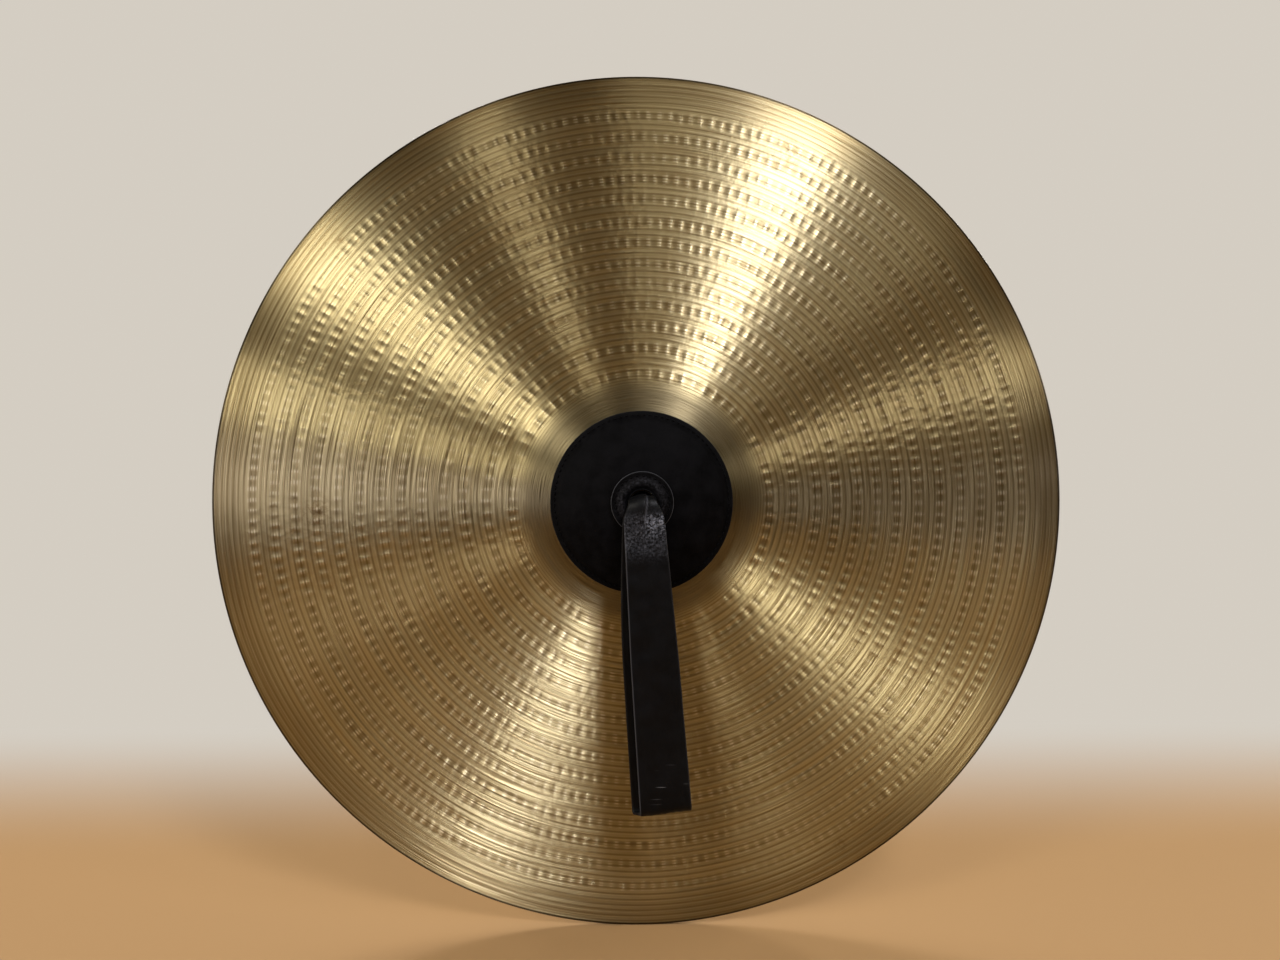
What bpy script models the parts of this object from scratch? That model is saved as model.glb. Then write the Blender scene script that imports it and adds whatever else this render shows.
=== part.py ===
"""A pair of hand-held clash cymbals, closed rim to rim, with leather pads and knotted hand straps.

World frame: metres, +Z up, origin at the centre of the clash plane, where the two rims meet.
Each cymbal is modelled in a frame of its own, held by an empty: local +Z runs outwards along the
plate's axis, local +Y is up, and z = 0 is the clash plane. Radii are measured from the plate's axis.
"""

import math

import bmesh
import bpy
import numpy as np

MM = 0.001

# Bronze plate
RIM_RADIUS = 254 * MM
PLATE_THICKNESS = 1.5 * MM
BOW_RISE = 29.5 * MM
BELL_RADIUS = 67 * MM
BELL_RISE = 21 * MM
BELL_BLEND = 3 * MM
HOLE_RADIUS = 6.35 * MM
RIM_GAP = 0.3 * MM

# Leather pad on the bell, three layers and a row of thread
CLEARANCE = 0.3 * MM
PAD_RADIUS = 50.8 * MM
PAD_HOLE_RADIUS = 7 * MM
LINING_THICKNESS = 1.2 * MM
CORE_THICKNESS = 1.6 * MM
CORE_EDGE = 0.4 * MM
CORE_TAPER = 14 * MM
SEAM_MARGIN = 6 * MM
SEAM_DROP = 2.4 * MM
COVER_THICKNESS = 1.6 * MM
PAD_STITCH_INSET = 2.4 * MM
THREAD_RADIUS = 0.45 * MM

# Sewn collar round the strap's exit
COLLAR_RADIUS = 17 * MM
COLLAR_THICKNESS = 2.3 * MM
COLLAR_STITCH_INSET = 2.4 * MM

# Hand strap, a flat band folded into a loop
STRAP_LENGTH = 164.5 * MM
STRAP_THICKNESS = 2.2 * MM
LOOP_GAP = 6.6 * MM
NECK_RADIUS = 4.2 * MM
NECK_LIFT = 2 * MM
NECK_WIDTH = 12 * MM
SHOULDER_WIDTH = 21.5 * MM
SHOULDER_DROP = 7 * MM
GRIP_WIDTH = 25.5 * MM
FOLD_WIDTH = 27.5 * MM
SPREAD_LENGTH = 34 * MM
CROTCH_DROP = 9 * MM
CROTCH_RADIUS = 0.8 * MM
BACK_PLY_SHIFT = 3.5 * MM
STRAP_LEAN = math.radians(4.3)

# Crown knot of the four split ends, inside the bell
TAIL_WIDTH = 8 * MM
TAIL_THICKNESS = 1.8 * MM
KNOT_PITCH = 12.5 * MM
TAIL_REACH = 30 * MM
WALL_EASE = 0.6 * MM

PLATE_SEGMENTS = 72
PAD_SEGMENTS = 36
COLLAR_SEGMENTS = 24
THREAD_SIDES = 3

# Colour, roughness, metallic
BRONZE = ((0.52, 0.40, 0.17), 0.32, 1.0)
BLACK_LEATHER = ((0.016, 0.016, 0.019), 0.5, 0.0)
BROWN_LEATHER = ((0.10, 0.07, 0.05), 0.75, 0.0)
GREY_FELT = ((0.14, 0.14, 0.14), 0.95, 0.0)
BLACK_THREAD = ((0.03, 0.03, 0.03), 0.6, 0.0)

# Each cymbal's frame: which way it faces, as the empty's rotation
FACINGS = {
    "front": (math.pi / 2, 0, 0),
    "rear": (math.pi / 2, 0, math.pi),
}


def smoothstep(value):
    """0 below 0, 1 above 1, and a smooth ramp between."""
    value = np.clip(value, 0, 1)
    return value * value * (3 - 2 * value)


def arc_radius(half_chord, rise):
    return (half_chord**2 + rise**2) / (2 * rise)


def inner_height(radius):
    """Height of the plate's inner face over the clash plane: a long arc, with the bell's cap on it."""
    bow_arc = arc_radius(RIM_RADIUS, BOW_RISE)
    bow = np.sqrt(bow_arc**2 - radius**2) - (bow_arc - BOW_RISE)
    cap_arc = arc_radius(BELL_RADIUS, BELL_RISE)
    cap = np.sqrt(cap_arc**2 - np.minimum(radius, BELL_RADIUS) ** 2) - (cap_arc - BELL_RISE)
    foot_slope = BELL_RADIUS / (cap_arc - BELL_RISE)
    cap = cap - foot_slope * np.maximum(radius - BELL_RADIUS, 0)
    bell = (cap + np.sqrt(cap**2 + BELL_BLEND**2)) / 2
    return RIM_GAP / 2 + bow + bell


def face(radius, offset):
    """Profile points at these radii on the surface that lies offset outside the plate's inner face."""
    step = 0.01 * MM
    foot = np.array(radius, float)
    for _ in range(30):
        slope = (inner_height(foot + step) - inner_height(foot - step)) / (2 * step)
        normal_length = np.sqrt(1 + slope**2)
        foot = radius + offset * slope / normal_length
    return np.column_stack((np.full(len(foot), radius), inner_height(foot) + offset / normal_length))


def bell_depth(radius):
    """How far the plate's inner face lies below its own apex."""
    return inner_height(0.0) - inner_height(radius)


# Stack of the pad, as distances outside the plate's inner face
LINING_BOTTOM = PLATE_THICKNESS + CLEARANCE
LINING_TOP = LINING_BOTTOM + LINING_THICKNESS
CORE_BOTTOM = LINING_TOP + CLEARANCE
CORE_RADIUS = PAD_RADIUS - SEAM_MARGIN


def core_top(radius):
    crown = smoothstep((CORE_RADIUS - radius) / CORE_TAPER)
    return CORE_BOTTOM + CORE_EDGE + (CORE_THICKNESS - CORE_EDGE) * crown


def cover_bottom(radius):
    """The cover lies over the core and dips to the lining along the sewn margin."""
    over_core = core_top(radius) + CLEARANCE
    at_seam = LINING_TOP + CLEARANCE
    seam = smoothstep((radius - CORE_RADIUS - CLEARANCE) / SEAM_DROP)
    return over_core * (1 - seam) + at_seam * seam


def cover_top(radius):
    return cover_bottom(radius) + COVER_THICKNESS


def collar_top(radius):
    return cover_top(radius) + CLEARANCE + COLLAR_THICKNESS


def highest(radius, offset):
    """Height over the clash plane of one profile point."""
    return float(face(np.array([radius]), np.array([offset]))[0, 1])


# The strap's lift hinge, and the knot's first layer
HINGE_HEIGHT = highest(PAD_HOLE_RADIUS, collar_top(PAD_HOLE_RADIUS)) + NECK_LIFT + NECK_RADIUS
KNOT_HALF = (KNOT_PITCH + TAIL_WIDTH) / 2
BIGHT_RADIUS = TAIL_THICKNESS + CLEARANCE
BIGHT_REACH = KNOT_HALF + BIGHT_RADIUS + TAIL_THICKNESS / 2
KNOT_TOP = bell_depth(math.hypot(BIGHT_REACH, KNOT_HALF)) + CLEARANCE


def principled(name, look):
    colour, roughness, metallic = look
    material = bpy.data.materials.new(name)
    material.use_nodes = True
    shader = material.node_tree.nodes["Principled BSDF"]
    shader.inputs["Base Color"].default_value = (*colour, 1)
    shader.inputs["Roughness"].default_value = roughness
    shader.inputs["Metallic"].default_value = metallic
    return material


def empty(name, parent=None, location=(0, 0, 0), rotation=(0, 0, 0)):
    frame = bpy.data.objects.new(name, None)
    frame.parent = parent
    frame.location = location
    frame.rotation_euler = rotation
    bpy.context.scene.collection.objects.link(frame)
    return frame


def add_piece(name, shape, look, parent):
    """One named sub-part from a bmesh, shaded smooth between its sharp edges."""
    bmesh.ops.recalc_face_normals(shape, faces=shape.faces)
    mesh = bpy.data.meshes.new(name)
    shape.to_mesh(mesh)
    shape.free()
    mesh.shade_smooth()
    mesh.set_sharp_from_angle(angle=math.radians(35))
    mesh.materials.append(principled(name, look))
    piece = bpy.data.objects.new(name, mesh)
    piece.parent = parent
    bpy.context.scene.collection.objects.link(piece)


def turned(profile, segments):
    """A closed profile of (radius, height) points spun once round the local Z axis."""
    shape = bmesh.new()
    verts = [shape.verts.new((radius, 0, height)) for radius, height in profile]
    edges = [shape.edges.new((a, b)) for a, b in zip(verts, verts[1:] + verts[:1])]
    bmesh.ops.spin(
        shape,
        geom=verts + edges,
        cent=(0, 0, 0),
        axis=(0, 0, 1),
        angle=math.tau,
        steps=segments,
        use_merge=True,
    )
    bmesh.ops.remove_doubles(shape, verts=shape.verts, dist=0.001 * MM)
    return shape


def lofted(rings, loop=False):
    """A skin through rings of points, capped at both ends or joined into a loop."""
    shape = bmesh.new()
    rows = [[shape.verts.new(point) for point in ring] for ring in rings]
    if not loop:
        shape.faces.new(rows[0])
        shape.faces.new(rows[-1][::-1])
    for row, following in zip(rows, rows[1:] + rows[:1] if loop else rows[1:]):
        for k, corner in enumerate(row):
            shape.faces.new((corner, row[k - 1], following[k - 1], following[k]))
    return shape


def level(radii, offset):
    """The same offset at every radius."""
    return np.full(len(radii), float(offset))


def shell(radii, bottom, top):
    """Closed profile of a layer between two offsets from the plate's inner face."""
    outside = face(radii, top)
    inside = face(radii, bottom)
    return np.vstack((outside, inside[::-1]))


def plate(name, parent):
    crown = np.linspace(HOLE_RADIUS, BELL_RADIUS - 2 * BELL_BLEND, 7)
    foot = BELL_RADIUS + BELL_BLEND * np.array([-0.5, 1, 3])
    bow = np.linspace(BELL_RADIUS + 8 * BELL_BLEND, RIM_RADIUS, 4)
    radii = np.concatenate((crown, foot, bow))
    profile = shell(radii, level(radii, 0), level(radii, PLATE_THICKNESS))
    add_piece(name, turned(profile, PLATE_SEGMENTS), BRONZE, parent)


def pad(prefix, parent):
    """Lining against the bell, felt core, and the cover that is sewn to the lining past the core."""
    core = np.linspace(PAD_HOLE_RADIUS, CORE_RADIUS, 6)
    margin = CORE_RADIUS + CLEARANCE + SEAM_DROP * np.array([0, 0.5, 1])
    whole = np.concatenate((core[:-1], margin, [PAD_RADIUS]))
    lining = np.append(core, PAD_RADIUS)
    layers = {
        "pad_lining": (lining, level(lining, LINING_BOTTOM), level(lining, LINING_TOP), BROWN_LEATHER),
        "pad_core": (core, level(core, CORE_BOTTOM), core_top(core), GREY_FELT),
        "pad_cover": (whole, cover_bottom(whole), cover_top(whole), BLACK_LEATHER),
    }
    for layer, (radii, bottom, top, look) in layers.items():
        add_piece(f"{prefix}_{layer}", turned(shell(radii, bottom, top), PAD_SEGMENTS), look, parent)


def collar(name, parent):
    radii = np.linspace(PAD_HOLE_RADIUS, COLLAR_RADIUS, 3)
    profile = shell(radii, cover_top(radii) + CLEARANCE, collar_top(radii))
    add_piece(name, turned(profile, COLLAR_SEGMENTS), BLACK_LEATHER, parent)


def stitching(name, radius, surface, segments, parent):
    """One row of thread lying on a surface given as an offset from the plate's inner face."""
    height = highest(radius, surface + CLEARANCE + THREAD_RADIUS)
    angles = -math.tau * (np.arange(THREAD_SIDES) + 0.5) / THREAD_SIDES
    section = THREAD_RADIUS * np.column_stack((np.cos(angles), np.sin(angles)))
    add_piece(name, turned(section + (radius, height), segments), BLACK_THREAD, parent)


def strap_width(depth):
    """Width of the band at a depth below the hinge: pinched at the neck, widest at the fold."""
    depths = (-NECK_RADIUS, SHOULDER_DROP, STRAP_LENGTH / 2, STRAP_LENGTH)
    return np.interp(depth, depths, (NECK_WIDTH, SHOULDER_WIDTH, GRIP_WIDTH, FOLD_WIDTH))


def ply_offsets(share, fold_depth):
    """Outer and inner face of a ply: their depths below the hinge, and distances from the mid-plane."""
    outer_depth = fold_depth * share
    inner_depth = CROTCH_DROP + (fold_depth - CROTCH_DROP) * share
    outer_target = LOOP_GAP / 2 + STRAP_THICKNESS
    outer = NECK_RADIUS + (outer_target - NECK_RADIUS) * smoothstep(outer_depth / SPREAD_LENGTH)
    inner_spread = (inner_depth - CROTCH_DROP) / SPREAD_LENGTH
    inner = CROTCH_RADIUS + (LOOP_GAP / 2 - CROTCH_RADIUS) * smoothstep(inner_spread)
    return outer_depth, inner_depth, outer, inner


def strap_stations():
    """Outer and inner outline of the loop, seen from its side, as (depth, distance) pairs."""
    fold_depth = STRAP_LENGTH - LOOP_GAP / 2 - STRAP_THICKNESS
    turn = np.linspace(-math.pi / 2, math.pi / 2, 7)
    outer = [(-NECK_RADIUS * math.cos(a), NECK_RADIUS * math.sin(a)) for a in turn]
    inner = [(CROTCH_DROP - CROTCH_RADIUS * math.cos(a), CROTCH_RADIUS * math.sin(a)) for a in turn]
    shares = np.concatenate((np.linspace(0, 0.25, 6)[1:], np.linspace(0.25, 1, 6)[1:]))
    front = list(zip(*ply_offsets(shares, fold_depth)))
    outer += [(depth, distance) for depth, _, distance, _ in front]
    inner += [(depth, distance) for _, depth, _, distance in front]
    inside = LOOP_GAP / 2
    outside = inside + STRAP_THICKNESS
    fold = np.linspace(math.pi / 2, -math.pi / 2, 7)[1:-1]
    outer += [(fold_depth + outside * math.cos(a), outside * math.sin(a)) for a in fold]
    inner += [(fold_depth + inside * math.cos(a), inside * math.sin(a)) for a in fold]
    outer += [(depth, -distance) for depth, _, distance, _ in front[::-1]]
    inner += [(depth, -distance) for _, depth, _, distance in front[::-1]]
    return outer, inner


def strap_corners(depth, distance):
    """The two edges of the band at one point of its outline, left and right."""
    half = float(strap_width(depth)) / 2
    middle = 0.0
    if distance < 0:
        middle = -BACK_PLY_SHIFT * math.sin(math.pi * min(max(depth / STRAP_LENGTH, 0), 1))
    return (middle - half, -depth, distance), (middle + half, -depth, distance)


def strap(name, parent):
    """The folded band, a loop closed by its neck, in a frame whose X axis is the lift hinge."""
    rings = []
    for outer, inner in zip(*strap_stations()):
        left_out, right_out = strap_corners(*outer)
        left_in, right_in = strap_corners(*inner)
        rings.append((left_out, right_out, right_in, left_in))
    add_piece(name, lofted(rings, loop=True), BLACK_LEATHER, parent)


def strap_throat(name, parent):
    """The squeezed strap ends in the hole: round in the plate, flattened where they leave the collar."""
    radius = HOLE_RADIUS - CLEARANCE
    top = HINGE_HEIGHT - NECK_RADIUS - CLEARANCE
    bottom = inner_height(0.0) - KNOT_TOP + CLEARANCE
    angles = math.tau * np.arange(16) / 16
    rings = []
    for share in np.linspace(0, 1, 4):
        flat = radius + (1.2 * STRAP_THICKNESS - radius) * smoothstep(share)
        height = bottom + (top - bottom) * share
        rings.append([(radius * math.cos(a), flat * math.sin(a), height) for a in angles])
    add_piece(name, lofted(rings), BLACK_LEATHER, parent)


def tail_path():
    """Centre line of one tail as (run, depth below the apex).

    It leaves the throat under its neighbour, turns back over it in a bight, dives between the two
    runs of the next one and ends along the bell's wall.
    """
    low = KNOT_TOP + TAIL_THICKNESS / 2
    middle = low + BIGHT_RADIUS
    high = middle + BIGHT_RADIUS
    window = (KNOT_PITCH - TAIL_WIDTH) / 2
    path = [(-CLEARANCE, low)]
    for angle in np.linspace(0, math.pi, 7):
        path.append((-KNOT_HALF - BIGHT_RADIUS * math.sin(angle), middle - BIGHT_RADIUS * math.cos(angle)))
    for share in np.linspace(0, 1, 6):
        path.append((window * (2 * share - 1), high + (middle - high) * smoothstep(share)))
    for run in np.linspace(KNOT_HALF, TAIL_REACH, 5):
        wall = bell_depth(math.hypot(run, KNOT_HALF)) + CLEARANCE + 0.6 * TAIL_THICKNESS
        path.append((run, (middle + wall + math.hypot(middle - wall, WALL_EASE)) / 2))
    return np.array(path)


def knot_tail(name, quarter, parent):
    """One flat tail swept along its path, a quarter turn on from its neighbour."""
    path = tail_path()
    heading = np.gradient(path, axis=0)
    heading /= np.linalg.norm(heading, axis=1)[:, None]
    across = np.column_stack((-heading[:, 1], heading[:, 0])) * TAIL_THICKNESS / 2
    apex = inner_height(0.0)
    cos, sin = ((1, 0), (0, 1), (-1, 0), (0, -1))[quarter]
    rings = []
    for centre, side in zip(path, across):
        ring = []
        for (run, depth), offset in (
            (centre + side, -TAIL_WIDTH / 2),
            (centre + side, TAIL_WIDTH / 2),
            (centre - side, TAIL_WIDTH / 2),
            (centre - side, -TAIL_WIDTH / 2),
        ):
            aside = KNOT_PITCH / 2 + offset
            ring.append((run * cos - aside * sin, run * sin + aside * cos, apex - depth))
        rings.append(ring)
    add_piece(name, lofted(rings), BLACK_LEATHER, parent)


def cymbal(prefix, facing):
    """One cymbal: the plate, the pad and knot that swivel on its axis, and the strap that lifts."""
    frame = empty(f"{prefix}_frame", rotation=facing)
    swivel = empty(f"{prefix}_swivel", frame, rotation=(0, 0, STRAP_LEAN))
    lift = empty(f"{prefix}_lift", swivel, location=(0, 0, HINGE_HEIGHT))
    plate(f"{prefix}_plate", frame)
    pad(prefix, swivel)
    pad_seam = PAD_RADIUS - PAD_STITCH_INSET
    stitching(f"{prefix}_pad_stitching", pad_seam, cover_top(pad_seam), PAD_SEGMENTS, swivel)
    collar(f"{prefix}_collar", swivel)
    collar_seam = COLLAR_RADIUS - COLLAR_STITCH_INSET
    stitching(f"{prefix}_collar_stitching", collar_seam, collar_top(collar_seam), COLLAR_SEGMENTS, swivel)
    strap_throat(f"{prefix}_strap_throat", swivel)
    for quarter in range(4):
        knot_tail(f"{prefix}_knot_tail_{quarter + 1}", quarter, swivel)
    strap(f"{prefix}_strap", lift)


def main():
    for obj in list(bpy.data.objects):
        bpy.data.objects.remove(obj)
    for prefix, facing in FACINGS.items():
        cymbal(prefix, facing)


main()
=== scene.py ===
import math

import bpy
import numpy as np
from mathutils import Matrix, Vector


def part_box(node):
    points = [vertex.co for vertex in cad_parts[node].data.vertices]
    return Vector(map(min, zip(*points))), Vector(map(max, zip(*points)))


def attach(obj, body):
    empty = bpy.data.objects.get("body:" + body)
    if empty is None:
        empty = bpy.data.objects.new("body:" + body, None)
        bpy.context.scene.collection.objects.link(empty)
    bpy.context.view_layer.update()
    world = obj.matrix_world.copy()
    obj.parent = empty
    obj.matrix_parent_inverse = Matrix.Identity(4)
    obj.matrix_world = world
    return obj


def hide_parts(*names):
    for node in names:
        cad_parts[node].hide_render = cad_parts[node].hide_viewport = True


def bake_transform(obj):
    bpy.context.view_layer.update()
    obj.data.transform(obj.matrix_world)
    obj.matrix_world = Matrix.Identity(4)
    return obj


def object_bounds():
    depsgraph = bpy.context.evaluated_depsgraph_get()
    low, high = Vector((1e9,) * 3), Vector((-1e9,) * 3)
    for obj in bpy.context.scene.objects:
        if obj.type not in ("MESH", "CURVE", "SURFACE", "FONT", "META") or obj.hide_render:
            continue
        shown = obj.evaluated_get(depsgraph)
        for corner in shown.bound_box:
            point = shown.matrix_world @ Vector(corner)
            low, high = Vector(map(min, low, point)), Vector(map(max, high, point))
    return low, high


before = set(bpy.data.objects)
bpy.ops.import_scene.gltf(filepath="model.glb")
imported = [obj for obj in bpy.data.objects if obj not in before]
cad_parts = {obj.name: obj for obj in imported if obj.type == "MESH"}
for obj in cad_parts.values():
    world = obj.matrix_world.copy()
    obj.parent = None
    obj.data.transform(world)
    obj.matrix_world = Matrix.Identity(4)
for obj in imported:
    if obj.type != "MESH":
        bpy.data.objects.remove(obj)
cadBox = [list(corner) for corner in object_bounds()]
mm = 0.001
sides = ("front", "rear")
print("frame loaded:", len(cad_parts), "nodes")

# Shapes are worked out in millimetres in each cymbal's own frame: x right and y up as seen from
# outside, z outwards along the plate's axis from the plane where the two rims meet.
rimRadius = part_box("front_plate")[1].x / mm
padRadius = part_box("front_pad_lining")[1].x / mm
padHole = 7.0
plateForm = dict(
    thickness=1.5, bowRise=29.5, bellRadius=67.0, bellRise=21.0, bellBlend=3.0, hole=6.35, rimGap=0.3)
gap = 0.3  # between pieces that touch


def smooth(value):
    value = np.clip(value, 0, 1)
    return value * value * (3 - 2 * value)


# Rises from 0 to 1 over a length that begins at start
def rise(value, start, length):
    return smooth((value - start) / length)


def bump(distance, width):
    return np.exp(-((distance / width) ** 2))


# Rows in spans, each given as its first value, its last and how many they are
def spans(*parts):
    return np.concatenate([np.linspace(*part) for part in parts])


# Angles of a half round edge, from its top to its underside
def halfTurn(count):
    return np.linspace(90, -90, count) * math.pi / 180


def turnsOf(columns):
    return math.tau * np.arange(columns)[None, :] / columns


# Rounded random relief, about -1 to 1: the mean of plane waves in random directions
def ripple(u, v, wavelength, seed, waves=9):
    rng = np.random.default_rng(seed)
    total = 0.0
    for turn, phase, stretch in rng.random((waves, 3)):
        wave = math.tau / wavelength * (0.7 + 0.8 * stretch)
        along = u * math.cos(math.tau * turn) + v * math.sin(math.tau * turn)
        total = total + np.sin(wave * along + math.tau * phase)
    return total / math.sqrt(2 * waves) * 1.2


# Height of the plate's inner face: a long arc with the bell's cap blended onto it
def innerHeight(radius):
    form = plateForm
    bowArc = (rimRadius**2 + form["bowRise"] ** 2) / (2 * form["bowRise"])
    bow = np.sqrt(bowArc**2 - radius**2) - (bowArc - form["bowRise"])
    capArc = (form["bellRadius"] ** 2 + form["bellRise"] ** 2) / (2 * form["bellRise"])
    cap = np.sqrt(capArc**2 - np.minimum(radius, form["bellRadius"]) ** 2) - (capArc - form["bellRise"])
    cap = cap - form["bellRadius"] / (capArc - form["bellRise"]) * np.maximum(radius - form["bellRadius"], 0)
    return form["rimGap"] / 2 + bow + (cap + np.sqrt(cap**2 + form["bellBlend"] ** 2)) / 2


# Height and slope of the surface that lies offset outside the inner face, measured square to it
def layer(radius, offset):
    radius = np.asarray(radius, float)
    foot, step = radius, 0.01
    for _ in range(25):
        slope = (innerHeight(foot + step) - innerHeight(foot - step)) / (2 * step)
        length = np.sqrt(1 + slope**2)
        foot = radius + offset * slope / length
    return innerHeight(foot) + offset / length, slope


# Points of a turned surface: the radii lie offset outside the inner face, and the relief lifts each
# point square to it
def turnedPoints(radii, offsets, relief, turn):
    height, slope = layer(radii, offsets)
    steep = np.sqrt(1 + slope**2)
    reach = radii - relief * slope / steep
    return np.stack((reach * np.cos(turn), reach * np.sin(turn), height + relief / steep), -1)


# From a cymbal's own frame to the shared one: the front cymbal faces the camera, the rear one away
def stand(points, side):
    x, y, z = np.moveaxis(np.asarray(points, float), -1, 0)
    return np.stack((x, -z, y), -1) if side == "front" else np.stack((-x, z, y), -1)


# Turned about the plate's axis
def spin(points, angle):
    x, y, z = np.moveaxis(points, -1, 0)
    cos, sin = math.cos(angle), math.sin(angle)
    return np.stack((x * cos - y * sin, x * sin + y * cos, z), -1)


# The pad, collar, knot and strap sit turned in the hole, so the strap hangs leaning
def lean(points):
    return spin(points, math.radians(strapForm["lean"]))


# Corner numbers of the quads of a grid whose rows follow each other outwards over the surface
def gridFaces(rows, columns, closeRows=False, closeColumns=True, first=0):
    row = np.arange(rows if closeRows else rows - 1)[:, None]
    column = np.arange(columns if closeColumns else columns - 1)[None, :]
    start, startOn = row * columns, (row + 1) % rows * columns
    columnOn = (column + 1) % columns
    corners = (start + column, startOn + column, startOn + columnOn, start + columnOn)
    return np.stack(np.broadcast_arrays(*corners), -1).reshape(-1, 4) + first


# Triangles between two rings whose counts divide one another
def joinRings(first, count, firstOn, countOn):
    few, many = min(count, countOn), max(count, countOn)
    share = many // few
    fine = np.arange(many)
    near = (fine // share + (fine % share >= share / 2)) % few
    fineOn = (fine + 1) % many
    coarse = np.arange(few)
    middle = coarse * share + (share + 1) // 2
    coarseOn = (coarse + 1) % few
    if count < countOn:
        fans = np.stack((near + first, fine + firstOn, fineOn + firstOn), -1)
        ties = np.stack((coarse + first, middle + firstOn, coarseOn + first), -1)
    else:
        fans = np.stack((fine + first, near + firstOn, fineOn + first), -1)
        ties = np.stack((middle + first, coarse + firstOn, coarseOn + firstOn), -1)
    return np.concatenate((fans, ties))


def addMesh(name, points, faceGroups, material, attributes=None):
    mesh = bpy.data.meshes.new(name)
    corners = np.concatenate([group.ravel() for group in faceGroups]).astype(np.int32)
    sizes = np.concatenate([np.full(len(group), group.shape[1]) for group in faceGroups])
    mesh.vertices.add(len(points))
    mesh.vertices.foreach_set("co", (points * mm).astype(np.float32).ravel())
    mesh.loops.add(len(corners))
    mesh.loops.foreach_set("vertex_index", corners)
    mesh.polygons.add(len(sizes))
    mesh.polygons.foreach_set("loop_start", (np.cumsum(sizes) - sizes).astype(np.int32))
    mesh.update(calc_edges=True)
    for attribute, values in (attributes or {}).items():
        field = mesh.attributes.new(attribute, "FLOAT", "POINT")
        field.data.foreach_set("value", np.broadcast_to(values, points.shape[:1]).astype(np.float32))
    mesh.validate()
    mesh.shade_smooth()
    mesh.materials.append(material)
    piece = bpy.data.objects.new(name, mesh)
    bpy.context.scene.collection.objects.link(piece)
    return piece


# A piece of the object: points in the cymbal's frame, riding on a body and standing for CAD nodes
def addPiece(name, side, points, faceGroups, material, body, replaced, attributes=None):
    piece = addMesh(f"{side}_{name}", stand(points, side), faceGroups, material, attributes)
    if body:
        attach(piece, f"{side}_{body}")
    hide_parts(*[f"{side}_{node}" for node in replaced])
    return piece


# MATERIALS
def colour(code):
    shade = np.array([int(code[k : k + 2], 16) for k in (0, 2, 4)]) / 255
    linear = np.where(shade <= 0.04045, shade / 12.92, ((shade + 0.055) / 1.055) ** 2.4)
    return (*linear.tolist(), 1)


# Adds one node: settings are its properties, inputs are values or the sockets that feed it
def add(tree, kind, inputs=None, **settings):
    node = tree.nodes.new("ShaderNode" + kind)
    for name, value in settings.items():
        setattr(node, name, value)
    for name, value in (inputs or {}).items():
        if isinstance(value, bpy.types.NodeSocket):
            tree.links.new(value, node.inputs[name])
        else:
            node.inputs[name].default_value = value
    return node.outputs[2] if kind == "Mix" and node.data_type == "RGBA" else node.outputs[0]


def newMaterial(name):
    material = bpy.data.materials.new(name)
    material.use_nodes = True
    tree = material.node_tree
    return material, tree, tree.nodes["Principled BSDF"]


def finishShader(tree, shader, **inputs):
    for name, value in inputs.items():
        socket = shader.inputs[name.replace("_", " ")]
        if isinstance(value, bpy.types.NodeSocket):
            tree.links.new(value, socket)
        else:
            socket.default_value = value


# Sizes, pitches and depths are in millimetres, bands are distances in from the rim, and each stain is
# its x, y, reach and strength
# The crest colour paints highlights, the rim colour a thin line of painted shade at the edge, and the line
# colour also paints shade in the valleys of the grooves and the pits of the marks.
bronze = dict(
    light="cfc399", deep="baab80", line="7f6c47", crestHighlight="efe7c7", bell="857a5f", stain="75592f",
    rim="33281a", roughness=0.36, cloudRoughness=0.03, bellRoughness=0.16, anisotropy=1.0,
    groovePitch=3.6, grooveDrift=4.0, grooveSlope=0.05, narrowShare=0.55, narrowTilt=0.6,
    extraBellTurns=1.3, bellEdge=(72.0, 62.0), bellFlatter=0.5, handledBand=(24, 10), lipBand=(2.0, 1.2),
    linePitch=1.2, lineSlope=0.35, threadPitch=0.13, threadSlope=5.5, grainSize=1.11, grainDepth=0.012,
    markDepth=0.03, cloudSize=143, blotchSize=2.63,
    stains=((-188, -6, 13, 0.7), (-177, 153, 5, 0.6), (88, 205, 15, 0.5), (120, -205, 6, 0.4)),
)


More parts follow.
